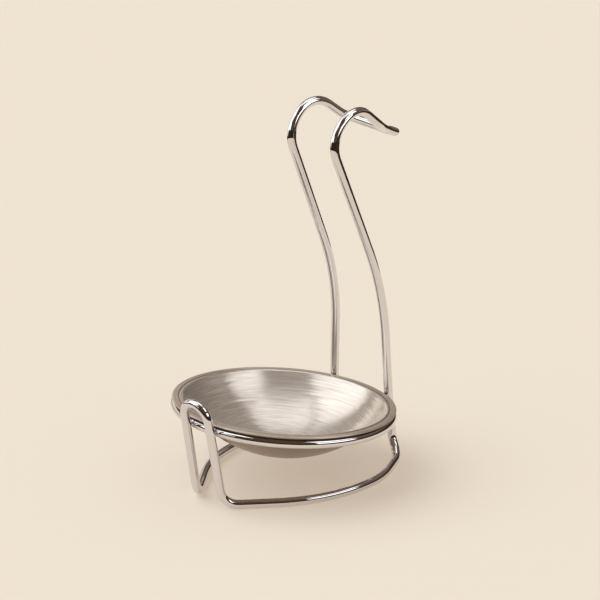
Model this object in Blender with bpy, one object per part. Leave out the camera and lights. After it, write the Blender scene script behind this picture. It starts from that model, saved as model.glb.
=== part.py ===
"""Ladle rest: a pressed steel drip dish that drops into a ring on a hooked stand of bent wire.

Metres, +Z up. The front faces -Y, the stand is the same on both sides of X = 0, and it stands on Z = 0.
Places are worked out from the dish's axis, which lies a little in front of the middle of the stand.
"""

import math

import bmesh
import bpy
from mathutils import Matrix, Vector

MM = 0.001

# Wire stock of the stand and the ring
WIRE_DIAMETER = 4.8 * MM
WIRE_SIDES = 12
ARC_STEP = math.radians(13)
ARC_SAGITTA = 0.1 * MM
CLEARANCE = 0.3 * MM

# Where the dish's axis stands, and how the ring carries the dish
DISH_AXIS_Y = -8.36 * MM
RING_HEIGHT = 39.0 * MM
RING_PITCH = math.radians(5.6)
RING_DIAMETER = 116.4 * MM
RING_STEPS = 60

# Dish, pressed from sheet
DISH_DIAMETER = 120.0 * MM
DISH_DEPTH = 27.5 * MM
FLANGE_WIDTH = 5.3 * MM
FLANGE_ROLL = 2.0 * MM
SHEET = 0.8 * MM
DISH_STEPS = 48
BOWL_STEPS = 8
RIM_STEPS = 4

# Front loop and its two legs, which lean out towards the top
LOOP_HALF_WIDTH = 8.7 * MM
LOOP_HEIGHT = 59.5 * MM
LEG_LEAN = math.radians(10.3)
FOOT_HALF_WIDTH = 9.7 * MM
FOOT_BEND = 9.5 * MM

# Floor runs: a long bend at the front half, a shorter one at the back half, then a bend inwards and up
BASE_HALF_WIDTH = 44.4 * MM
BASE_FRONT_CORNER_Y = -11.9 * MM
BASE_FRONT_BEND = 77.0 * MM
BASE_BACK_CORNER_Y = 29.9 * MM
BASE_BACK_BEND = 50.0 * MM
REAR_CORNER = (30.2 * MM, 57.4 * MM)
REAR_BEND = 14.0 * MM

# Uprights: corners of the bends, as half width, distance behind the dish's axis and height
UPRIGHT_FOOT_CORNER = (22.5 * MM, 61.0 * MM, 9.5 * MM)
UPRIGHT_FOOT_BEND = 8.0 * MM
UPRIGHT_AT_RING_X = 20.6 * MM
UPRIGHT_RING_BEND = 25.0 * MM
UPRIGHT_CORNER = (17.5 * MM, 57.8 * MM, 95.3 * MM)
UPRIGHT_BEND = 140.0 * MM

# Hook: two corners share one bend radius, and the tail draws in to the two ends at the tip
HOOK_FRONT_CORNER = (15.7 * MM, 18.6 * MM, 185.5 * MM)
HOOK_TOP_CORNER = (15.7 * MM, 36.9 * MM, 202.9 * MM)
HOOK_BEND = 15.8 * MM
TAIL_CORNER = (12.7 * MM, 57.9 * MM, 187.0 * MM)
TAIL_BEND = 14.6 * MM
TIP_CORNER = (2.8 * MM, 73.8 * MM, 179.1 * MM)
TIP_BEND = 11.3 * MM
TIP_END = (2.8 * MM, 81.9 * MM, 175.5 * MM)
END_ROUND_STEPS = 3

# Weld fillets: half sizes of the bead before the wires are cut out of it
RING_WELD = (3.3 * MM, 2.2 * MM, 2.6 * MM)
TIP_WELD = (1.7 * MM, 4.6 * MM, 1.0 * MM)
TIP_WELD_BELOW = 2.1 * MM
WELD_SIDES = 14

# Mesh settings
SHARP_ANGLE = math.radians(40)
MERGE_DISTANCE = 0.001 * MM

WIRE_RADIUS = WIRE_DIAMETER / 2
# The faceted wire stands outside the round one, so that its flats lie at the true radius
FACET_RADIUS = WIRE_RADIUS / math.cos(math.pi / WIRE_SIDES)


def clear_scene():
    """Remove what the file opened with."""
    for old in list(bpy.data.objects):
        bpy.data.objects.remove(old, do_unlink=True)


def metal(name, colour, roughness):
    """Bare metal of one colour and polish."""
    material = bpy.data.materials.new(name)
    material.use_nodes = True
    shader = material.node_tree.nodes["Principled BSDF"]
    shader.inputs["Base Color"].default_value = (*colour, 1.0)
    shader.inputs["Metallic"].default_value = 1.0
    shader.inputs["Roughness"].default_value = roughness
    return material


def add_empty(name, location, rotation=(0.0, 0.0, 0.0)):
    """Reference frame that pieces are parented to."""
    empty = bpy.data.objects.new(name, None)
    empty.location = location
    empty.rotation_euler = rotation
    bpy.context.scene.collection.objects.link(empty)
    return empty


def add_piece(name, bm, material, parent):
    """Turn a bmesh into a named, smooth-shaded object under its reference frame."""
    mesh = bpy.data.meshes.new(name)
    bm.to_mesh(mesh)
    bm.free()
    mesh.shade_smooth()
    mesh.set_sharp_from_angle(angle=SHARP_ANGLE)
    mesh.materials.append(material)
    piece = bpy.data.objects.new(name, mesh)
    piece.parent = parent
    bpy.context.scene.collection.objects.link(piece)
    return piece


def mark_as_cutter(piece):
    """Keep a cutting shape out of the finished object."""
    piece.hide_render = True
    piece.display_type = "WIRE"
    return piece


def beside_ring(x, side):
    """Centre of a wire that lies against the outside of the ring at this x, in front (-1) or behind (+1)."""
    reach = RING_DIAMETER / 2 + 2 * FACET_RADIUS + CLEARANCE
    along = side * math.sqrt(reach ** 2 - x ** 2)
    return Vector((x, along * math.cos(RING_PITCH), RING_HEIGHT - along * math.sin(RING_PITCH)))


def frame_corners():
    """Corners of the right half of the frame wire with their bend radii, from the loop's top to the tip."""
    contact = beside_ring(LOOP_HALF_WIDTH, -1)
    lean = math.tan(LEG_LEAN)
    loop_y = contact.y - (LOOP_HEIGHT - contact.z) * lean
    foot_y = contact.y + (contact.z - WIRE_RADIUS) * lean
    loop = Vector((LOOP_HALF_WIDTH, loop_y, LOOP_HEIGHT))
    foot = Vector((FOOT_HALF_WIDTH, foot_y, WIRE_RADIUS))
    # The loop's bend starts exactly on the mirror plane
    loop_bend = LOOP_HALF_WIDTH / math.tan(Vector((1.0, 0.0, 0.0)).angle(foot - loop) / 2)
    return [
        (Vector((0.0, loop_y, LOOP_HEIGHT)), 0.0),
        (loop, loop_bend),
        (foot, FOOT_BEND),
        (Vector((BASE_HALF_WIDTH, BASE_FRONT_CORNER_Y, WIRE_RADIUS)), BASE_FRONT_BEND),
        (Vector((BASE_HALF_WIDTH, BASE_BACK_CORNER_Y, WIRE_RADIUS)), BASE_BACK_BEND),
        (Vector((*REAR_CORNER, WIRE_RADIUS)), REAR_BEND),
        (Vector(UPRIGHT_FOOT_CORNER), UPRIGHT_FOOT_BEND),
        (beside_ring(UPRIGHT_AT_RING_X, 1), UPRIGHT_RING_BEND),
        (Vector(UPRIGHT_CORNER), UPRIGHT_BEND),
        (Vector(HOOK_FRONT_CORNER), HOOK_BEND),
        (Vector(HOOK_TOP_CORNER), HOOK_BEND),
        (Vector(TAIL_CORNER), TAIL_BEND),
        (Vector(TIP_CORNER), TIP_BEND),
        (Vector(TIP_END), 0.0),
    ]


def bend_wire(corners):
    """Stations (point, direction) along straight runs joined by arcs of the given radii."""
    stations = []
    for (before, _), (corner, radius), (after, _) in zip(corners, corners[1:], corners[2:]):
        towards = (corner - before).normalized()
        away = (after - corner).normalized()
        turn = towards.angle(away)
        start = corner - towards * radius * math.tan(turn / 2)
        inward = (away - towards * towards.dot(away)).normalized()
        centre = start + inward * radius
        finest = 2 * math.acos(1 - ARC_SAGITTA / radius)
        steps = max(2, math.ceil(turn / min(ARC_STEP, finest)))
        for step in range(steps + 1):
            angle = turn * step / steps
            point = centre + radius * (towards * math.sin(angle) - inward * math.cos(angle))
            stations.append((point, towards * math.cos(angle) + inward * math.sin(angle)))
    last, _ = corners[-1]
    stations.append((last, stations[-1][1]))
    return stations


def carry_normals(stations, first, normal):
    """Turn a normal along the wire with the least twist, both ways from one station."""
    normals = [None] * len(stations)
    normals[first] = normal
    for order in (range(first + 1, len(stations)), range(first - 1, -1, -1)):
        back = -1 if order.step > 0 else 1
        for index in order:
            turn = stations[index + back][1].rotation_difference(stations[index][1])
            normals[index] = turn @ normals[index + back]
    return normals


def frame_bmesh(facet_radius):
    """Right half of the frame wire as a tube, open at X = 0 and rounded at the tip."""
    stations = bend_wire(frame_corners())
    on_table = next(i for i, (point, _) in enumerate(stations) if abs(point.z - WIRE_RADIUS) < MERGE_DISTANCE)
    normals = carry_normals(stations, on_table, Vector((0.0, 0.0, 1.0)))
    sections = [(point, along, normal, facet_radius) for (point, along), normal in zip(stations, normals)]
    tip, along, normal, _ = sections[-1]
    for step in range(1, END_ROUND_STEPS + 1):
        angle = math.pi / 2 * step / (END_ROUND_STEPS + 1)
        centre = tip + along * facet_radius * math.sin(angle)
        sections.append((centre, along, normal, facet_radius * math.cos(angle)))

    bm = bmesh.new()
    loops = []
    for centre, along, normal, radius in sections:
        side = along.cross(normal)
        loop = []
        for corner in range(WIRE_SIDES):
            angle = 2 * math.pi * (corner + 0.5) / WIRE_SIDES
            loop.append(bm.verts.new(centre + radius * (side * math.cos(angle) + normal * math.sin(angle))))
        loops.append(loop)
    for near, far in zip(loops, loops[1:]):
        for corner in range(WIRE_SIDES):
            after = (corner + 1) % WIRE_SIDES
            bm.faces.new((near[corner], far[corner], far[after], near[after]))
    bm.faces.new(reversed(loops[-1]))
    return bm


def add_frame_wire(name, facet_radius, material, parent):
    """The whole frame wire: one half, mirrored across X = 0 and joined at the front loop's top."""
    piece = add_piece(name, frame_bmesh(facet_radius), material, parent)
    mirror = piece.modifiers.new("other_side", "MIRROR")
    mirror.use_axis = (True, False, False)
    mirror.use_mirror_merge = True
    mirror.merge_threshold = MERGE_DISTANCE
    return piece


def add_ring(name, facet_radius, material, parent):
    """Closed wire ring around the dish's axis, spun from one wire section."""
    bm = bmesh.new()
    middle = Vector((RING_DIAMETER / 2, 0.0, 0.0))
    turn = Matrix.Rotation(math.pi / 2, 3, "X")
    section = bmesh.ops.create_circle(bm, cap_ends=False, radius=facet_radius, segments=WIRE_SIDES)
    for vert in section["verts"]:
        vert.co = turn @ vert.co + middle
    bmesh.ops.spin(
        bm, geom=bm.verts[:] + bm.edges[:], axis=(0.0, 0.0, 1.0), cent=(0.0, 0.0, 0.0),
        angle=2 * math.pi, steps=RING_STEPS, use_merge=True,
    )
    bmesh.ops.remove_doubles(bm, verts=bm.verts[:], dist=MERGE_DISTANCE)
    bmesh.ops.recalc_face_normals(bm, faces=bm.faces[:])
    return add_piece(name, bm, material, parent)


def dish_profile():
    """Closed outline of the dish's wall as (r, z): up the inside, round the rim and back underneath."""
    seat = FACET_RADIUS + CLEARANCE
    top = seat + SHEET
    outer = DISH_DIAMETER / 2
    mouth = outer - FLANGE_WIDTH
    sphere = (mouth ** 2 + DISH_DEPTH ** 2) / (2 * DISH_DEPTH)
    centre_z = top - DISH_DEPTH + sphere
    # The shoulder is an arc of FLANGE_ROLL that touches both the flange's top and the bowl's sphere
    shoulder_z = top - FLANGE_ROLL
    tilt = math.acos((centre_z - shoulder_z) / (sphere + FLANGE_ROLL))
    shoulder_r = (sphere + FLANGE_ROLL) * math.sin(tilt)

    def wall(offset):
        """One side of the sheet, offset downwards and outwards by this much of its thickness."""
        floor = [
            ((sphere + offset) * math.sin(tilt * step / BOWL_STEPS),
             centre_z - (sphere + offset) * math.cos(tilt * step / BOWL_STEPS))
            for step in range(BOWL_STEPS + 1)
        ]
        roll = FLANGE_ROLL - offset
        shoulder = [
            (shoulder_r - roll * math.sin(tilt * part), shoulder_z + roll * math.cos(tilt * part))
            for part in (0.5, 0.0)
        ]
        return floor + shoulder

    edge = SHEET / 2
    rim = [
        (outer - edge + edge * math.sin(math.pi * step / RIM_STEPS),
         seat + edge + edge * math.cos(math.pi * step / RIM_STEPS))
        for step in range(RIM_STEPS + 1)
    ]
    return wall(0.0) + rim + wall(SHEET)[::-1]


def add_dish(material, parent):
    """Pressed bowl with a flat flange, spun from its wall's outline."""
    bm = bmesh.new()
    verts = [bm.verts.new((r, 0.0, z)) for r, z in dish_profile()]
    for near, far in zip(verts, verts[1:]):
        bm.edges.new((near, far))
    bmesh.ops.spin(
        bm, geom=bm.verts[:] + bm.edges[:], axis=(0.0, 0.0, 1.0), cent=(0.0, 0.0, 0.0),
        angle=2 * math.pi, steps=DISH_STEPS, use_merge=True,
    )
    bmesh.ops.remove_doubles(bm, verts=bm.verts[:], dist=MERGE_DISTANCE)
    bmesh.ops.recalc_face_normals(bm, faces=bm.faces[:])
    return add_piece("dish", bm, material, parent)


def add_weld(name, centre, half_size, cutters, material, parent):
    """Bead of fused metal around a contact, with the wires that it joins cut out of it."""
    bm = bmesh.new()
    bmesh.ops.create_uvsphere(bm, u_segments=WELD_SIDES, v_segments=WELD_SIDES // 2, radius=1.0)
    bmesh.ops.scale(bm, vec=half_size, verts=bm.verts[:])
    bmesh.ops.translate(bm, vec=centre, verts=bm.verts[:])
    piece = add_piece(name, bm, material, parent)
    for cutter in cutters:
        cut = piece.modifiers.new("clear_of_" + cutter.name, "BOOLEAN")
        cut.operation = "DIFFERENCE"
        cut.object = cutter
    return piece


def ring_contact(x, side):
    """Point halfway between the ring and the wire that lies against it."""
    wire = beside_ring(x, side)
    ring_axis = Vector((0.0, 0.0, RING_HEIGHT))
    reach = wire - ring_axis
    share = 1 - (FACET_RADIUS + CLEARANCE / 2) / reach.length
    return ring_axis + reach * share


clear_scene()
chrome = metal("polished_chrome", (0.78, 0.77, 0.75), 0.08)
weld_chrome = metal("plated_weld", (0.70, 0.69, 0.67), 0.2)
brushed = metal("brushed_steel", (0.62, 0.60, 0.57), 0.35)

stand = add_empty("stand_frame", (0.0, DISH_AXIS_Y, 0.0))
seat = add_empty("dish_frame", (0.0, DISH_AXIS_Y, RING_HEIGHT), (-RING_PITCH, 0.0, 0.0))

add_frame_wire("frame_wire", FACET_RADIUS, chrome, stand)
add_ring("support_ring", FACET_RADIUS, chrome, seat)
add_dish(brushed, seat)

frame_cutter = mark_as_cutter(add_frame_wire("frame_cutter", FACET_RADIUS + CLEARANCE, chrome, stand))
ring_cutter = mark_as_cutter(add_ring("ring_cutter", FACET_RADIUS + CLEARANCE, chrome, seat))
for hand, label in ((-1, "left"), (1, "right")):
    for x, side, place in ((LOOP_HALF_WIDTH, -1, "front"), (UPRIGHT_AT_RING_X, 1, "rear")):
        contact = ring_contact(x, side)
        contact.x *= hand
        add_weld(f"{place}_weld_{label}", contact, RING_WELD, (frame_cutter, ring_cutter), weld_chrome, stand)

tip_middle = (Vector(TIP_CORNER) + Vector(TIP_END)) / 2
tip_groove = Vector((0.0, tip_middle.y, tip_middle.z - TIP_WELD_BELOW))
add_weld("tip_weld", tip_groove, TIP_WELD, (frame_cutter,), weld_chrome, stand)
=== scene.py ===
"""Looks of the ladle rest: a hooked stand of bent chromed wire, and a loose brushed steel dish in its ring.

Metres, +Z up, front towards -Y. Each section below is one piece or group of like pieces, in the order in
which the stand is put together, then the studio around it.
"""

import math

import bpy
import numpy as np
from mathutils import Matrix, Vector


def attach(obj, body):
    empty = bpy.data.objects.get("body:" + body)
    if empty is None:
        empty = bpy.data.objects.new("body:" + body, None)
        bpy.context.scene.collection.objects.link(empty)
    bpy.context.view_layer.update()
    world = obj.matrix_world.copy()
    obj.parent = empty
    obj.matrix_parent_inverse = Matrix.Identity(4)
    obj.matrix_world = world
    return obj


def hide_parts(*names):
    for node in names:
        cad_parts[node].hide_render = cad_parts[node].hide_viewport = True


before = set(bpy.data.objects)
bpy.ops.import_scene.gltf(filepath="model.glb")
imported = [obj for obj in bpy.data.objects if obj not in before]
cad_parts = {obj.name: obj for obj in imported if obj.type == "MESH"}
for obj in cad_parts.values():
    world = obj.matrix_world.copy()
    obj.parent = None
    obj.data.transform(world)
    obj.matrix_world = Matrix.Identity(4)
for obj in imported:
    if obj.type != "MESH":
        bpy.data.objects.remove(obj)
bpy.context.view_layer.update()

# Frame wire: one length of round steel wire, cold bent into the front loop, the legs, the floor runs, the
# uprights and the hook, then polished and chrome plated. Its two ends lie side by side at the hook's tip.
MM = 0.001
X_AXIS = np.array([1.0, 0.0, 0.0])
Y_AXIS = np.array([0.0, 1.0, 0.0])
Z_AXIS = np.array([0.0, 0.0, 1.0])
DISH_AXIS = np.array([0.0, -8.36, 0.0]) * MM
RING_HEIGHT = 39.0 * MM
RING_PITCH = math.radians(5.6)
RING_RADIUS = 58.2 * MM
WIRE_RADIUS = 2.4 * MM
RING_TO_WIRE = 5.27 * MM

# Corners of the right half, measured from the ring's middle and up from the table, with the bends there
LOOP_HALF_WIDTH = 8.7 * MM
LOOP_HEIGHT = 59.5 * MM
LEG_LEAN = math.radians(10.3)
FOOT_HALF_WIDTH = 9.7 * MM
FOOT_BEND = 9.5 * MM
BASE_HALF_WIDTH = 44.4 * MM
BASE_FRONT_CORNER_Y = -11.9 * MM
BASE_FRONT_BEND = 77.0 * MM
BASE_BACK_CORNER_Y = 29.9 * MM
BASE_BACK_BEND = 50.0 * MM
REAR_CORNER_X = 30.2 * MM
REAR_CORNER_Y = 57.4 * MM
REAR_BEND = 14.0 * MM
UPRIGHT_FOOT_CORNER = np.array([22.5, 61.0, 9.5]) * MM
UPRIGHT_FOOT_BEND = 8.0 * MM
UPRIGHT_AT_RING_X = 20.6 * MM
UPRIGHT_RING_BEND = 25.0 * MM
UPRIGHT_CORNER = np.array([17.5, 57.8, 95.3]) * MM
UPRIGHT_BEND = 140.0 * MM
HOOK_FRONT_CORNER = np.array([15.7, 18.6, 185.5]) * MM
HOOK_TOP_CORNER = np.array([15.7, 36.9, 202.9]) * MM
HOOK_BEND = 15.8 * MM
TAIL_CORNER = np.array([12.7, 57.9, 187.0]) * MM
TAIL_BEND = 14.6 * MM
TIP_CORNER = np.array([2.43, 73.8, 179.1]) * MM
TIP_BEND = 11.3 * MM
TIP_END = np.array([2.43, 81.9, 175.5]) * MM

# Mesh of the wire: how much slimmer it is, to stay clear of the table, its stations and sides, how far its
# bends are eased, in stations, its domed ends, and where its circles change the axis that they start from
WIRE_INSET = 0.002 * MM
WIRE_STATION = 0.8 * MM
WIRE_SIDES = 32
ARC_POINTS_PER_STATION = 4
SAME_POINT_SHARE = 1e-3
WIRE_EASE = 1.6
EASE_REACH = 3
TIP_DOME = 2.1 * MM
TIP_DOME_ROWS = 7
LOOP_TURN_ENDS = 16.0 * MM
LEG_TURN_ENDS = 40.0 * MM

# Plating: scale and detail of its cloud and smear, their shares in the gloss, and its orange peel
PLATING_CLOUD = 70.0, 3.0
PLATING_SMEAR = 420.0, 4.0
PLATING_SHARES = 0.5, 0.5
PEEL_DETAIL = 2.0
PEEL_DEPTH = 0.1 * MM


def unit(vectors):
    """Vectors of length one: each divided by its length."""
    return vectors / np.linalg.norm(vectors, axis=-1, keepdims=True)


def beside_ring(x, side):
    """Centre of a wire against the outside of the ring: at x, on the circle of ring radius plus the distance
    between both wires' centres, in the ring's pitched plane, in front (side -1) or behind (+1)."""
    along = side * math.sqrt((RING_RADIUS + RING_TO_WIRE) ** 2 - x ** 2)
    return np.array([x, along * math.cos(RING_PITCH), RING_HEIGHT - along * math.sin(RING_PITCH)])


def bent_path(corners, bends, spacing):
    """Points at an even spacing along straight runs joined by arcs. With unit directions in and out, turn
    angle w and radius R, an arc starts R tan(w/2) before its corner and runs centre + R (in sin t - side
    cos t)."""
    arcs = []
    for before, corner, after, bend in zip(corners, corners[1:], corners[2:], bends):
        towards = unit(corner - before)
        away = unit(after - corner)
        turn = math.acos(towards @ away)
        start = corner - towards * bend * math.tan(turn / 2)
        inward = unit(away - towards * (towards @ away))
        angle = np.linspace(0.0, turn, 2 + int(turn * bend / spacing * ARC_POINTS_PER_STATION))[:, None]
        arcs.append(start + inward * bend + bend * (towards * np.sin(angle) - inward * np.cos(angle)))
    points = np.vstack([corners[:1], *arcs, corners[-1:]])
    steps = np.linalg.norm(np.diff(points, axis=0), axis=1)
    points = points[np.r_[True, steps > spacing * SAME_POINT_SHARE]]
    travel = np.r_[0.0, np.cumsum(np.linalg.norm(np.diff(points, axis=0), axis=1))]
    even = np.linspace(0.0, travel[-1], 1 + round(travel[-1] / spacing))
    return np.stack([np.interp(even, travel, axis) for axis in points.T], axis=1)


def eased(points, width):
    """Path averaged over its neighbours with Gaussian weights, so that a bend grows out of its straight
    run."""
    reach = math.ceil(EASE_REACH * width)
    weights = np.exp(-0.5 * (np.arange(-reach, reach + 1) / width) ** 2)
    weights = weights / weights.sum()
    padded = np.pad(points, ((reach, reach), (0, 0)), mode="reflect", reflect_type="odd")
    return np.stack([np.convolve(axis, weights, mode="valid") for axis in padded.T], axis=1)


def round_sweep(path, normals, radius, sides):
    """Circles carried along a path: point + radius (normal cos a + side sin a), side = direction x normal."""
    along = unit(np.gradient(path, axis=0))
    normals = unit(normals - along * np.sum(normals * along, axis=1, keepdims=True))
    angle = np.linspace(0.0, 2 * math.pi, sides, endpoint=False)[None, :, None]
    around = normals[:, None] * np.cos(angle) + np.cross(along, normals)[:, None] * np.sin(angle)
    return path[:, None] + radius * around, along


def domed_end(circle, outward, depth, rows):
    """Rows that close a wire's end, and their pole: the circle shrinks with cos a while it moves out by
    depth sin a."""
    centre = circle.mean(axis=0)
    angle = (np.arange(1, rows + 1) / (rows + 1) * math.pi / 2)[:, None, None]
    dome = centre + (circle - centre) * np.cos(angle) + outward * depth * np.sin(angle)
    return dome, centre + outward * depth


def add_object(name, data):
    """New object in the scene."""
    made = bpy.data.objects.new(name, data)
    bpy.context.scene.collection.objects.link(made)
    return made


def add_surface(name, rows, poles=(), ring_of_rows=False):
    """Mesh object from a grid of points that wraps around in its second direction: quads between
    neighbouring rows, and a fan to the pole at each open end. Faces are turned to give a positive volume."""
    count, sides = rows.shape[:2]
    index = np.arange(count * sides).reshape(count, sides)
    after = np.roll(index, -1, axis=1)
    below, below_after = np.roll(index, -1, axis=0), np.roll(after, -1, axis=0)
    quads = np.stack([index, below, below_after, after], axis=-1)
    quads = quads if ring_of_rows else quads[:-1]
    points = np.vstack([rows.reshape(-1, 3), *poles])
    corners = points[quads.reshape(-1, 4)]
    volume = np.sum(corners[:, 0] * np.cross(corners[:, 1], corners[:, 2]))
    volume += np.sum(corners[:, 0] * np.cross(corners[:, 2], corners[:, 3]))
    faces = quads.reshape(-1, 4).tolist()
    if len(poles):
        first = np.stack([np.full(sides, count * sides), index[0], after[0]], axis=1)
        last = np.stack([np.full(sides, count * sides + 1), after[-1], index[-1]], axis=1)
        faces += first.tolist() + last.tolist()
    if volume < 0:
        faces = [face[::-1] for face in faces]
    mesh = bpy.data.meshes.new(name)
    mesh.from_pydata(points.tolist(), [], faces)
    mesh.shade_smooth()
    return add_object(name, mesh)


class Value:
    """A socket of a node tree. Operators on it add Math nodes, and node() adds any other node."""

    def __init__(self, tree, socket=None):
        self.tree = tree
        self.socket = socket

    def node(self, kind, settings=None, sockets=None, out=0):
        """Add a node: its settings first, then a value or a link for each socket, by name or number."""
        made = self.tree.nodes.new(kind)
        for name, setting in (settings or {}).items():
            setattr(made, name, setting)
        for key, value in (sockets or {}).items():
            if isinstance(value, Value):
                self.tree.links.new(value.socket, made.inputs[key])
            else:
                made.inputs[key].default_value = value
        return Value(self.tree, made.outputs[out])

    def math(self, operation, *values):
        """One Math node."""
        return self.node("ShaderNodeMath", {"operation": operation}, dict(enumerate(values)))

    def __add__(self, other):
        return self.math("ADD", self, other)

    def __sub__(self, other):
        return self.math("SUBTRACT", self, other)

    def __rsub__(self, other):
        return self.math("SUBTRACT", other, self)

    def __mul__(self, other):
        return self.math("MULTIPLY", self, other)

    def __truediv__(self, other):
        return self.math("DIVIDE", self, other)

    def __rtruediv__(self, other):
        return self.math("DIVIDE", other, self)

    __radd__ = __add__
    __rmul__ = __mul__


def principled(name, constants):
    """New material with these constants on its Principled node, and that node."""
    material = bpy.data.materials.new(name)
    material.use_nodes = True
    shader = material.node_tree.nodes["Principled BSDF"]
    for socket, constant in constants.items():
        shader.inputs[socket].default_value = constant
    return material, shader


def noise(place, scale, detail):
    """Cloudy pattern over a place, smaller with a larger scale."""
    return place.node("ShaderNodeTexNoise", None, {"Vector": place, "Scale": scale, "Detail": detail})


def blended(patterns, shares):
    """Sum of the patterns, each times its share."""
    total = patterns[0] * shares[0]
    for pattern, share in zip(patterns[1:], shares[1:]):
        total = total + pattern * share
    return total


def mixed(factor, first, second):
    """Colour between two colours, each a triple or a Value."""
    ends = [end if isinstance(end, Value) else (*end, 1.0) for end in (first, second)]
    sockets = {"Factor": factor, "A": ends[0], "B": ends[1]}
    return factor.node("ShaderNodeMix", {"data_type": "RGBA"}, sockets, out=2)


def feed(shader, values):
    """Link each Value to the shader's socket of that name."""
    for name, value in values.items():
        value.tree.links.new(value.socket, shader.inputs[name])


def chrome(name, bright, dull, shine, haze, peel_scale, peel):
    """Plated wire: cloudy plating shifts the tone and the gloss, and a shallow orange peel ripples it."""
    material, shader = principled(name, {"Metallic": 1.0})
    value = Value(material.node_tree)
    place = value.node("ShaderNodeTexCoord", out="Object")
    cloud = noise(place, *PLATING_CLOUD)
    smear = noise(place, *PLATING_SMEAR)
    ripple = noise(place, peel_scale, PEEL_DETAIL)
    peeled = {"Strength": peel, "Distance": PEEL_DEPTH, "Height": ripple}
    feed(shader, {
        "Base Color": mixed(cloud, dull, bright),
        "Roughness": shine + haze * blended((cloud, smear), PLATING_SHARES),
        "Normal": value.node("ShaderNodeBump", None, peeled),
    })
    return material


def frame_wire_path():
    """The whole wire's centre line: the right half from the loop's top to the tip, and its mirror image."""
    contact = beside_ring(LOOP_HALF_WIDTH, -1)
    lean = math.tan(LEG_LEAN)
    loop_y = contact[1] - (LOOP_HEIGHT - contact[2]) * lean
    foot_y = contact[1] + (contact[2] - WIRE_RADIUS) * lean
    loop = np.array([LOOP_HALF_WIDTH, loop_y, LOOP_HEIGHT])
    foot = np.array([FOOT_HALF_WIDTH, foot_y, WIRE_RADIUS])
    # The loop's bend starts on the mirror plane
    loop_bend = LOOP_HALF_WIDTH / math.tan(math.acos(unit(foot - loop)[0]) / 2)
    corners = np.array([
        [0.0, loop_y, LOOP_HEIGHT],
        loop,
        foot,
        [BASE_HALF_WIDTH, BASE_FRONT_CORNER_Y, WIRE_RADIUS],
        [BASE_HALF_WIDTH, BASE_BACK_CORNER_Y, WIRE_RADIUS],
        [REAR_CORNER_X, REAR_CORNER_Y, WIRE_RADIUS],
        UPRIGHT_FOOT_CORNER,
        beside_ring(UPRIGHT_AT_RING_X, 1),
        UPRIGHT_CORNER,
        HOOK_FRONT_CORNER,
        HOOK_TOP_CORNER,
        TAIL_CORNER,
        TIP_CORNER,
        TIP_END,
    ])
    bends = [
        loop_bend,
        FOOT_BEND,
        BASE_FRONT_BEND,
        BASE_BACK_BEND,
        REAR_BEND,
        UPRIGHT_FOOT_BEND,
        UPRIGHT_RING_BEND,
        UPRIGHT_BEND,
        HOOK_BEND,
        HOOK_BEND,
        TAIL_BEND,
        TIP_BEND,
    ]
    half = bent_path(corners, bends, WIRE_STATION)
    mirrored = half[:0:-1] * np.array([-1.0, 1.0, 1.0])
    return eased(np.vstack([mirrored, half]), WIRE_EASE) + DISH_AXIS


wire_path = frame_wire_path()
from_loop = np.abs(np.arange(len(wire_path)) - len(wire_path) // 2) * WIRE_STATION
# Across the loop the circles start from the Y axis, and elsewhere from the X axis: the wire never runs along
# the one it starts from
loop_share = np.clip((LEG_TURN_ENDS - from_loop) / (LEG_TURN_ENDS - LOOP_TURN_ENDS), 0.0, 1.0)[:, None]
wire_normals = loop_share * Y_AXIS + (1 - loop_share) * X_AXIS
wire_rows, wire_along = round_sweep(wire_path, wire_normals, WIRE_RADIUS - WIRE_INSET, WIRE_SIDES)
left_dome, left_pole = domed_end(wire_rows[0], -wire_along[0], TIP_DOME, TIP_DOME_ROWS)
right_dome, right_pole = domed_end(wire_rows[-1], wire_along[-1], TIP_DOME, TIP_DOME_ROWS)
stand_wire = add_surface(
    "stand_wire", np.concatenate([left_dome[::-1], wire_rows, right_dome]), (left_pole, right_pole)
)
wire_chrome = chrome(
    "wire_chrome", bright=(0.78, 0.76, 0.77), dull=(0.72, 0.70, 0.71),
    shine=0.03, haze=0.05, peel_scale=260.0, peel=0.03,
)
stand_wire.data.materials.append(wire_chrome)
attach(stand_wire, "stand")
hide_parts("frame_wire")

# Support ring: the same wire bent to a full circle with its ends butt welded and ground flush at the back,
# welded inside the front legs and the uprights, a little higher at the front, and plated with the stand.
RING_STATIONS = 420
# How far the ring lies below the plane that the dish and the welds are measured from
RING_SAG = 0.5 * MM
pitch_turn = np.array([
    [1.0, 0.0, 0.0],
    [0.0, math.cos(RING_PITCH), math.sin(RING_PITCH)],
    [0.0, -math.sin(RING_PITCH), math.cos(RING_PITCH)],
])
ring_centre = DISH_AXIS + RING_HEIGHT * Z_AXIS


def ring_rows(radius, wire_radius, stations, sides):
    """Torus: (radius + wire cos b) around the axis at angle a, height wire sin b."""
    turn = np.linspace(0.0, 2 * math.pi, stations, endpoint=False)[:, None]
    side = np.linspace(0.0, 2 * math.pi, sides, endpoint=False)[None, :]
    reach = radius + wire_radius * np.cos(side)
    height = wire_radius * np.sin(side) + 0 * turn
    return np.stack([reach * np.cos(turn), reach * np.sin(turn), height], axis=-1)


def on_ring(points):
    """Points about the ring's own upright axis, tipped with its pitch about X and moved to its centre."""
    return points @ pitch_turn.T + ring_centre


level_ring = ring_rows(RING_RADIUS, WIRE_RADIUS, RING_STATIONS, WIRE_SIDES) - RING_SAG * Z_AXIS
carrier_ring = add_surface("carrier_ring", on_ring(level_ring), ring_of_rows=True)
carrier_ring.data.materials.append(wire_chrome)
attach(carrier_ring, "stand")
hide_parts("support_ring")

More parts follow.
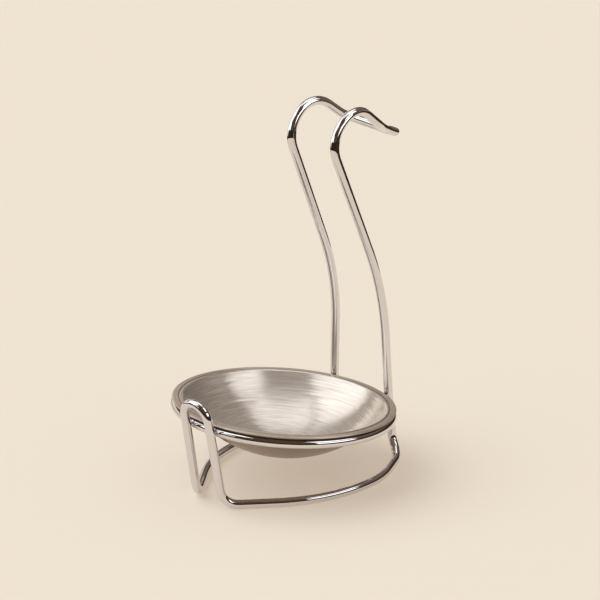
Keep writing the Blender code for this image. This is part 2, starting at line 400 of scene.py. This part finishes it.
# Welds: necks of metal fused where the ring touches the legs and the uprights, and a bead in the groove
# under the two wire ends. They are plated over with the wire, and stay a little duller and rippled.
NECK_WAIST = 1.35 * MM
NECK_FLARE = 0.75 * MM
NECK_SINK = 0.12 * MM
NECK_ROWS = 15
NECK_SIDES = 36
BEAD_HALF = np.array([1.5, 4.2, 0.9]) * MM
BEAD_PLACE = np.array([0.0, 77.6, 177.4]) * MM
BEAD_BELOW = 1.75 * MM
BEAD_RIPPLE = 0.06
BEAD_WAVES = 5
BEAD_ROWS = 33
BEAD_SIDES = 24
weld_chrome = chrome(
    "weld_chrome", bright=(0.70, 0.68, 0.68), dull=(0.60, 0.58, 0.58),
    shine=0.10, haze=0.16, peel_scale=900.0, peel=0.25,
)


def weld_neck(x, side, along):
    """Neck between ring and wire, waisted in the middle: radius waist + flare t^2 for t from -1 to 1. Each
    end follows its wire's round, which falls away by R - sqrt(R^2 - offset^2) beside the line of contact."""
    wire = beside_ring(abs(x), side) * np.array([np.sign(x), 1.0, 1.0]) + DISH_AXIS
    outward = unit(wire - ring_centre)
    across = unit(along - outward * (outward @ along))
    sideways = np.cross(outward, across)
    share = np.linspace(-1.0, 1.0, NECK_ROWS)[:, None]
    angle = np.linspace(0.0, 2 * math.pi, NECK_SIDES, endpoint=False)[None, :]
    reach = NECK_WAIST + NECK_FLARE * share ** 2
    half_gap = RING_TO_WIRE / 2 - WIRE_RADIUS
    beside = np.where(share < 0, reach * np.cos(angle), reach * np.sin(angle))
    fall = WIRE_RADIUS - np.sqrt(WIRE_RADIUS ** 2 - beside ** 2)
    depth = share * (half_gap + fall + NECK_SINK)
    middle = wire - outward * RING_TO_WIRE / 2
    offsets = (reach * np.cos(angle))[..., None] * across + (reach * np.sin(angle))[..., None] * sideways
    rows = middle + offsets + depth[..., None] * outward
    return rows, (middle - outward * half_gap, middle + outward * half_gap)


leg_along = np.array([0.0, -math.sin(LEG_LEAN), math.cos(LEG_LEAN)])
for hand, label in ((-1, "left"), (1, "right")):
    for x, side, along, place in (
        (LOOP_HALF_WIDTH, -1, leg_along, "front"),
        (UPRIGHT_AT_RING_X, 1, Z_AXIS, "rear"),
    ):
        neck = add_surface(f"{place}_neck_{label}", *weld_neck(hand * x, side, along))
        neck.data.materials.append(weld_chrome)
        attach(neck, "stand")
        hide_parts(f"{place}_weld_{label}")


def weld_bead(middle, along, up, half):
    """Ellipsoid bead along the groove, its girth rippled by 1 + k sin(2 n t) as the weld was laid."""
    travel = np.linspace(-math.pi / 2, math.pi / 2, BEAD_ROWS)[1:-1, None]
    angle = np.linspace(0.0, 2 * math.pi, BEAD_SIDES, endpoint=False)[None, :]
    girth = np.cos(travel) * (1 + BEAD_RIPPLE * np.sin(2 * BEAD_WAVES * travel))
    rows = (
        middle
        + (half[0] * girth * np.cos(angle))[..., None] * X_AXIS
        + (half[1] * np.sin(travel) + 0 * angle)[..., None] * along
        + (half[2] * girth * np.sin(angle))[..., None] * up
    )
    return rows, (middle - along * half[1], middle + along * half[1])


tip_along = unit(wire_along[-1] * np.array([0.0, 1.0, 1.0]))
tip_up = unit(np.cross(X_AXIS, tip_along))
bead_middle = BEAD_PLACE + DISH_AXIS - tip_up * BEAD_BELOW
tip_bead = add_surface("tip_bead", *weld_bead(bead_middle, tip_along, tip_up, BEAD_HALF))
tip_bead.data.materials.append(weld_chrome)
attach(tip_bead, "stand")
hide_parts("tip_weld")

# Dish: a shallow bowl pressed from thin stainless sheet, brushed in circles inside on a lathe. A small lip
# stands around the bowl, and a duller flange lies outside it. The dish is loose in the ring and lifts out.
DISH_RADIUS = 60.0 * MM
DISH_DEPTH = 27.5 * MM
DISH_SHEET = 0.8 * MM
DISH_SEAT = 2.785 * MM
FLANGE_WIDTH = 5.3 * MM
SHOULDER_BEND = 1.5 * MM
GROOVE_RADIUS = 56.4 * MM
GROOVE_HALF = 0.75 * MM
GROOVE_DEPTH = 0.22 * MM
RIM_FALL = 0.9 * MM
RIM_EDGE = 0.18 * MM
DISH_TURNS = 288
BOWL_ROWS = 44
SHOULDER_ROWS = 12
FLANGE_ROWS = 26
RIM_ROWS = 9

# Steel: its dark and bright strokes in the bowl, the flange, then two painted shades: a dark brown for the
# outside, which mirrors the shadowed floor, and a near black where little light reaches, in the groove and
# under the flange
DARK_STROKE = (0.54, 0.48, 0.42)
BRIGHT_STROKE = (0.95, 0.885, 0.815)
FLANGE_STEEL = (0.53, 0.43, 0.335)
OUTSIDE_PAINTED_SHADE = (0.225, 0.155, 0.108)
PAINTED_SHADE = (0.06, 0.048, 0.038)
FLANGE_STARTS = 55.2 * MM
FLANGE_FULL = 56.2 * MM
FLANGE_COVER = 0.7
GROOVE_SHADE_COVER = 0.75
OUTSIDE_SHADE_COVER = 0.85

# Brushing: each set of strokes as breaks around the axis, fineness across it and detail
BROAD_STROKES = 2.4, 1100.0, 2.0
FINE_STROKES = 3.4, 2400.0, 2.0
HAIR_STROKES = 9.0, 9000.0, 1.0
STEEL_CLOUD = 45.0, 3.0
NOISE_LOW = 0.3
NOISE_HIGH = 0.7
HEIGHT_ACROSS = 0.5
AXIS_GUARD = 1e-9
STROKE_SWING = 0.105
STROKE_DEPTH = 0.02 * MM
STROKE_STRENGTH = 0.5

# Shares of broad, fine and cloud in the tone, of broad, fine and hair in the bump, of broad and fine in the
# swing, and of fine and cloud in the gloss
TONE_SHARES = 0.35, 0.45, 0.20
BUMP_SHARES = 0.5, 0.3, 0.2
SWING_SHARES = 0.5, 0.5
GLOSS_SHARES = 0.6, 0.4

# Gloss: how far it is drawn out, the bowl's roughness, what strokes and flange add, and how metallic both are
BRUSHED_ANISOTROPY = 0.96
BRUSHED_ROTATION = 0.25
BOWL_ROUGHNESS = 0.155
STROKE_ROUGHNESS = 0.10
FLANGE_ROUGHNESS = 0.115
BOWL_METALLIC = 0.60
FLANGE_LESS_METALLIC = 0.05


def dish_profile():
    """Wall outline as (r, z) from the bowl's middle up the inside, round the rim and back underneath: a
    sphere through the mouth, an arc of the shoulder that touches it and the flange, a flange with a groove
    beside the lip, depth (1 - t^2)^2 for t from -1 to 1, and a rim that falls off in an elliptic arc to a
    small round edge."""
    top = DISH_SEAT + DISH_SHEET
    mouth = DISH_RADIUS - FLANGE_WIDTH
    sphere = (mouth ** 2 + DISH_DEPTH ** 2) / (2 * DISH_DEPTH)
    sphere_z = top - DISH_DEPTH + sphere
    shoulder_z = top - SHOULDER_BEND
    tilt = math.acos((sphere_z - shoulder_z) / (sphere + SHOULDER_BEND))
    shoulder_r = (sphere + SHOULDER_BEND) * math.sin(tilt)

    def side(offset, groove, flat_end):
        """One face of the sheet from the middle to the flange's end, this far below the inner face."""
        bowl = np.linspace(0.0, tilt, BOWL_ROWS + 1)[1:]
        roll = np.linspace(tilt, 0.0, SHOULDER_ROWS + 1)[1:]
        flat = np.linspace(shoulder_r, flat_end, FLANGE_ROWS + 1)[1:]
        sunk = np.clip(1 - ((flat - GROOVE_RADIUS) / GROOVE_HALF) ** 2, 0.0, 1.0) ** 2
        shell = sphere + offset
        bend = SHOULDER_BEND - offset
        return np.concatenate([
            np.stack([shell * np.sin(bowl), sphere_z - shell * np.cos(bowl)], axis=1),
            np.stack([shoulder_r - bend * np.sin(roll), shoulder_z + bend * np.cos(roll)], axis=1),
            np.stack([flat, top - offset - groove * sunk], axis=1),
        ])

    turn = np.linspace(0.0, math.pi / 2, RIM_ROWS + 1)[1:]
    drop = DISH_SHEET - RIM_EDGE
    fall_r = DISH_RADIUS - RIM_FALL * (1 - np.sin(turn))
    fall = np.stack([fall_r, top - drop * (1 - np.cos(turn))], axis=1)
    edge_r = DISH_RADIUS - RIM_EDGE * (1 - np.cos(turn))
    edge = np.stack([edge_r, top - drop - RIM_EDGE * np.sin(turn)], axis=1)[:-1]
    inside = side(0.0, GROOVE_DEPTH, DISH_RADIUS - RIM_FALL)
    outside = side(DISH_SHEET, 0.0, DISH_RADIUS - RIM_EDGE)[::-1]
    share = np.r_[np.zeros(len(inside) + len(fall)), np.linspace(0.0, 1.0, len(edge)), np.ones(len(outside))]
    middles = top - DISH_DEPTH, top - DISH_DEPTH - DISH_SHEET
    return np.concatenate([inside, fall, edge, outside]), share, middles


def lathe(profile, turns):
    """Profile turned about the axis: (r cos a, r sin a, z)."""
    turn = np.linspace(0.0, 2 * math.pi, turns, endpoint=False)[None, :]
    r, z = profile[:, :1], profile[:, 1:]
    return np.stack([r * np.cos(turn), r * np.sin(turn), z + 0 * turn], axis=-1)


def smooth_step(value, start, end, low=0.0, high=1.0):
    """Smooth step from low to high while the value goes from start to end."""
    limits = {"Value": value, "From Min": start, "From Max": end, "To Min": low, "To Max": high}
    return value.node("ShaderNodeMapRange", {"interpolation_type": "SMOOTHSTEP"}, limits)


def brushed_steel(name):
    """Steel brushed in circles: strokes are noise in (cos a, sin a, r), long around the axis and fine across
    it. They stir the tone, the gloss and a shallow bump, and swing the surface a little sideways, because no
    stroke runs quite true. The gloss is drawn out across the strokes. The flange is duller. Painted shade
    darkens the groove beside the lip and the whole outside, most of all under the flange."""
    drawn_out = {"Anisotropic": BRUSHED_ANISOTROPY, "Anisotropic Rotation": BRUSHED_ROTATION}
    material, shader = principled(name, drawn_out)
    value = Value(material.node_tree)
    place = value.node("ShaderNodeTexCoord", out="Object")
    local = value.node(
        "ShaderNodeMapping",
        {"vector_type": "TEXTURE"},
        {"Vector": place, "Location": tuple(ring_centre), "Rotation": (-RING_PITCH, 0.0, 0.0)},
    )
    x, y, z = (value.node("ShaderNodeSeparateXYZ", None, {"Vector": local}, out=axis) for axis in range(3))
    r = value.math("SQRT", x * x + y * y + AXIS_GUARD)
    around_x, around_y = x / r, y / r
    across = r + z * HEIGHT_ACROSS

    def vector(x, y, z):
        """Vector of three Values."""
        return value.node("ShaderNodeCombineXYZ", None, {"X": x, "Y": y, "Z": z})

    def strokes(breaks, fineness, detail):
        """Noise stretched around the axis: more breaks give shorter strokes, more fineness thinner ones."""
        return noise(vector(around_x * breaks, around_y * breaks, across * fineness), 1.0, detail)

    def spread(pattern):
        """Noise with its middle range drawn out to 0 to 1."""
        limits = {"Value": pattern, "From Min": NOISE_LOW, "From Max": NOISE_HIGH}
        return value.node("ShaderNodeMapRange", None, limits)

    broad = spread(strokes(*BROAD_STROKES))
    fine = spread(strokes(*FINE_STROKES))
    hair = strokes(*HAIR_STROKES)
    cloud = noise(local, *STEEL_CLOUD)
    flange = smooth_step(r, FLANGE_STARTS, FLANGE_FULL)
    from_groove = value.math("ABSOLUTE", r - GROOVE_RADIUS) / GROOVE_HALF
    groove = smooth_step(from_groove, 0.0, 1.0, low=1.0, high=0.0)
    outside = value.node("ShaderNodeAttribute", {"attribute_name": "outside"}, out="Fac")

    tone = mixed(blended((broad, fine, cloud), TONE_SHARES), DARK_STROKE, BRIGHT_STROKE)
    tone = mixed(flange * FLANGE_COVER, tone, FLANGE_STEEL)
    # Painted shade in the groove beside the lip
    tone = mixed(groove * GROOVE_SHADE_COVER, tone, PAINTED_SHADE)
    # Painted shade on the outside: dark brown for the shadowed floor it mirrors, near black under the flange
    tone = mixed(outside * OUTSIDE_SHADE_COVER, tone, mixed(flange, OUTSIDE_PAINTED_SHADE, PAINTED_SHADE))

    # The swing goes either way from the patterns' middle, in the direction around the pitched axis
    swing = (blended((broad, fine), SWING_SHARES) - 0.5) * STROKE_SWING
    aside = vector(
        around_y * swing * -1.0,
        around_x * swing * math.cos(RING_PITCH),
        around_x * swing * -math.sin(RING_PITCH),
    )
    facing = value.node("ShaderNodeNewGeometry", out="Normal")
    swung = value.node("ShaderNodeVectorMath", {"operation": "ADD"}, {0: facing, 1: aside})
    swung = value.node("ShaderNodeVectorMath", {"operation": "NORMALIZE"}, {0: swung})
    scratched = {
        "Strength": STROKE_STRENGTH,
        "Distance": STROKE_DEPTH,
        "Height": blended((broad, fine, hair), BUMP_SHARES),
        "Normal": swung,
    }
    stirred = STROKE_ROUGHNESS * blended((fine, cloud), GLOSS_SHARES)
    feed(shader, {
        "Base Color": tone,
        "Roughness": BOWL_ROUGHNESS + stirred + FLANGE_ROUGHNESS * flange,
        "Metallic": BOWL_METALLIC - FLANGE_LESS_METALLIC * flange,
        "Normal": value.node("ShaderNodeBump", None, scratched),
    })
    return material


profile, outside_share, middles = dish_profile()
dish_poles = [on_ring(middle * Z_AXIS) for middle in middles]
drip_dish = add_surface("drip_dish", on_ring(lathe(profile, DISH_TURNS)), dish_poles)
# Marks the outside, which the steel darkens with painted shade
outside_mark = drip_dish.data.attributes.new("outside", "FLOAT", "POINT")
outside_mark.data.foreach_set("value", np.r_[np.repeat(outside_share, DISH_TURNS), 0.0, 1.0])
drip_dish.data.materials.append(brushed_steel("brushed_dish"))
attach(drip_dish, "dish")
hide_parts("dish")

# Floor: the plain beige paper that the stand is shown on, wide enough to fill every view. It is matt, and
# part of its brightness is a glow of its own, so that the stand's shadow stays pale.
FLOOR_RADIUS = 9.0
FLOOR_DROP = 0.05 * MM
FLOOR_SIDES = 96
PAPER = (0.868, 0.785, 0.667)
PAPER_GLOW = (0.425, 0.350, 0.280)
MATT = {"Roughness": 1.0, "Specular IOR Level": 0.0}
floor_turn = np.linspace(0.0, 2 * math.pi, FLOOR_SIDES, endpoint=False)
floor_across = FLOOR_RADIUS * np.cos(floor_turn), FLOOR_RADIUS * np.sin(floor_turn)
floor_points = np.stack([*floor_across, 0 * floor_turn - FLOOR_DROP], axis=1)
floor_mesh = bpy.data.meshes.new("paper_floor")
floor_mesh.from_pydata(floor_points.tolist(), [], [list(range(FLOOR_SIDES))])
paper_floor = add_object("paper_floor", floor_mesh)
paper_look = {
    **MATT,
    "Base Color": (*np.subtract(PAPER, PAPER_GLOW), 1.0),
    "Emission Color": (*PAPER_GLOW, 1.0),
    "Emission Strength": 1.0,
}
paper_floor.data.materials.append(principled("beige_paper", paper_look)[0])

# Studio: a paper sweep in a dim warm room under two wide suns, which the metal doesn't mirror. What it does
# mirror are two tilted panels, two upright boxes and a panel overhead, which put no light on the paper.
VIEW_AZIMUTH = math.radians(44.917)
VIEW_ELEVATION = math.radians(19.935)
DARK_ROOM = (0.090, 0.056, 0.031)
WARM_WALL = (0.17, 0.13, 0.10)
WALL_BEHIND = 0.94
WALL_RIGHT = 0.34
WALL_FULL = 0.75
SWEEP_BEHIND = 0.87
SWEEP_RIGHT = -0.5
SWEEP_RISE_STARTS = 0.80
SWEEP_RISE_FULL = 0.94
SWEEP_RISE = 0.22
SWEEP_FOOT = 0.085
SWEEP_TOP = 0.11
PANEL_TINT = (0.972, 1.0, 1.025)
up = Vector(Z_AXIS)
behind = Vector((-math.sin(VIEW_AZIMUTH), math.cos(VIEW_AZIMUTH), 0.0))
to_right = Vector((math.cos(VIEW_AZIMUTH), math.sin(VIEW_AZIMUTH), 0.0))

world = bpy.data.worlds.new("studio")
bpy.context.scene.world = world
world.use_nodes = True
heading = Value(world.node_tree).node("ShaderNodeTexCoord", out="Generated")
height = heading.node("ShaderNodeSeparateXYZ", None, {"Vector": heading}, out="Z")


def heading_along(direction):
    """How far the heading points in a direction: their dot product."""
    sockets = {0: heading, 1: direction}
    return heading.node("ShaderNodeVectorMath", {"operation": "DOT_PRODUCT"}, sockets, out="Value")


wall_side = heading_along(behind * WALL_BEHIND + to_right * WALL_RIGHT)
room = mixed(smooth_step(wall_side, 0.0, WALL_FULL), DARK_ROOM, WARM_WALL)
sweep_side = heading_along(behind * SWEEP_BEHIND + to_right * SWEEP_RIGHT)
sweep_rise = smooth_step(sweep_side, SWEEP_RISE_STARTS, SWEEP_RISE_FULL, 0.0, SWEEP_RISE)
backdrop = mixed(smooth_step(height - sweep_rise, SWEEP_FOOT, SWEEP_TOP), PAPER, room)
feed(world.node_tree.nodes["Background"], {"Color": backdrop})


def around_view(right, front, high):
    """Vector given as seen by the camera: to the right, towards the front and up."""
    return to_right * right - behind * front + up * high


def add_sun(name, travel, strength, spread):
    """Even light along one direction, soft by its spread, that the metal doesn't mirror."""
    lamp = bpy.data.lights.new(name, "SUN")
    lamp.energy = strength
    lamp.angle = spread
    sun = add_object(name, lamp)
    sun.rotation_euler = travel.to_track_quat("-Z", "Y").to_euler()
    sun.visible_glossy = False


def add_panel(name, middle, rising, size, glow):
    """Rectangular light panel for the metal to mirror. Its height follows the rising direction, it faces the
    stand as nearly as that allows, and its power is glow x pi x area."""
    lamp = bpy.data.lights.new(name, "AREA")
    lamp.shape = "RECTANGLE"
    lamp.color = PANEL_TINT
    lamp.size, lamp.size_y = size
    lamp.energy = glow * math.pi * lamp.size * lamp.size_y
    panel = add_object(name, lamp)
    out = (middle - rising * middle.dot(rising)).normalized()
    across = rising.cross(out)
    panel.matrix_world = Matrix((across, rising, out)).transposed().to_4x4()
    panel.location = middle
    panel.visible_diffuse = False


add_sun("key", travel=around_view(0.66, -0.03, -0.8), strength=1.90, spread=math.radians(60))
add_sun("fill", travel=around_view(0.0, -0.2, -1.0), strength=1.27, spread=math.radians(140))
left_rise = around_view(-0.146, -0.917, 0.370).normalized()
right_rise = around_view(-0.314, -0.228, 0.921).normalized()
add_panel("left_panel", around_view(-0.527, -0.275, 0.674), left_rise, size=(0.62, 1.12), glow=1.48)
add_panel("right_panel", around_view(0.452, 0.096, 0.72), right_rise, size=(0.52, 0.36), glow=1.66)
add_panel("left_box", around_view(-0.84, 0.13, 0.36), up, size=(1.10, 0.44), glow=1.50)
add_panel("right_box", around_view(0.693, 0.40, 0.435), up, size=(0.68, 0.33), glow=2.20)
add_panel("top_panel", around_view(0.08, -0.37, 1.06), behind, size=(0.735, 0.78), glow=1.27)

# Dark card: a strip of dark felt that stands in a wide circle around the stand, for the metal to mirror
# something dark. It is cut low at the back, and has its full height around the front and the sides. Only the
# metal shows it.
CARD_TONE = (0.042, 0.032, 0.024)
CARD_RADIUS = 0.52
CARD_HIGH = 0.235
CARD_LOW = 0.045
CARD_TURN = math.radians(28)
CARD_HIGH_COS = math.cos(math.radians(115))
CARD_LOW_COS = math.cos(math.radians(140))
CARD_SIDES = 144
card_turn = np.linspace(0.0, 2 * math.pi, CARD_SIDES, endpoint=False)
card_share = (np.cos(card_turn - CARD_TURN) - CARD_LOW_COS) / (CARD_HIGH_COS - CARD_LOW_COS)
card_high = CARD_LOW + (CARD_HIGH - CARD_LOW) * np.clip(card_share, 0.0, 1.0)
card_heading = VIEW_AZIMUTH + card_turn
card_foot = CARD_RADIUS * np.stack([np.sin(card_heading), -np.cos(card_heading), 0 * card_turn], axis=1)
card_top = card_foot + card_high[:, None] * Z_AXIS
card_step = np.arange(CARD_SIDES)
card_next = np.roll(card_step, -1)
card_quads = np.stack([card_step, card_next, card_next + CARD_SIDES, card_step + CARD_SIDES], axis=1)
card_mesh = bpy.data.meshes.new("dark_card")
card_mesh.from_pydata(np.vstack([card_foot, card_top]).tolist(), [], card_quads.tolist())
dark_card = add_object("dark_card", card_mesh)
dark_card.visible_camera = False
dark_card.visible_diffuse = False
dark_card.visible_shadow = False
felt_look = {**MATT, "Base Color": (*CARD_TONE, 1.0)}
dark_card.data.materials.append(principled("dark_felt", felt_look)[0])

# Camera: at the photograph's angle, without any roll, with a long lens. It is aimed above the ring's middle
# and a little to the right of it, so that the stand lies in the picture as it does in the photograph.
VIEW_DISTANCE = 1.5
VIEW_RIGHT = 8.568 * MM
VIEW_UP = 57.224 * MM
VIEW_REACH = 30.0
FOCAL_PIXELS = 2809.6
IMAGE_PIXELS = 600
SENSOR = 36.0
back = Vector((
    math.sin(VIEW_AZIMUTH) * math.cos(VIEW_ELEVATION),
    -math.cos(VIEW_AZIMUTH) * math.cos(VIEW_ELEVATION),
    math.sin(VIEW_ELEVATION),
))
view_up = back.cross(to_right)
lens = bpy.data.cameras.new("camera")
lens.sensor_width = SENSOR
lens.lens = SENSOR * FOCAL_PIXELS / IMAGE_PIXELS
lens.clip_end = VIEW_REACH
camera = add_object("camera", lens)
camera.location = Vector(ring_centre) + to_right * VIEW_RIGHT + view_up * VIEW_UP + back * VIEW_DISTANCE
camera.rotation_euler = (-back).to_track_quat("-Z", "Y").to_euler()
bpy.context.scene.camera = camera
bpy.context.scene.view_settings.view_transform = "Standard"
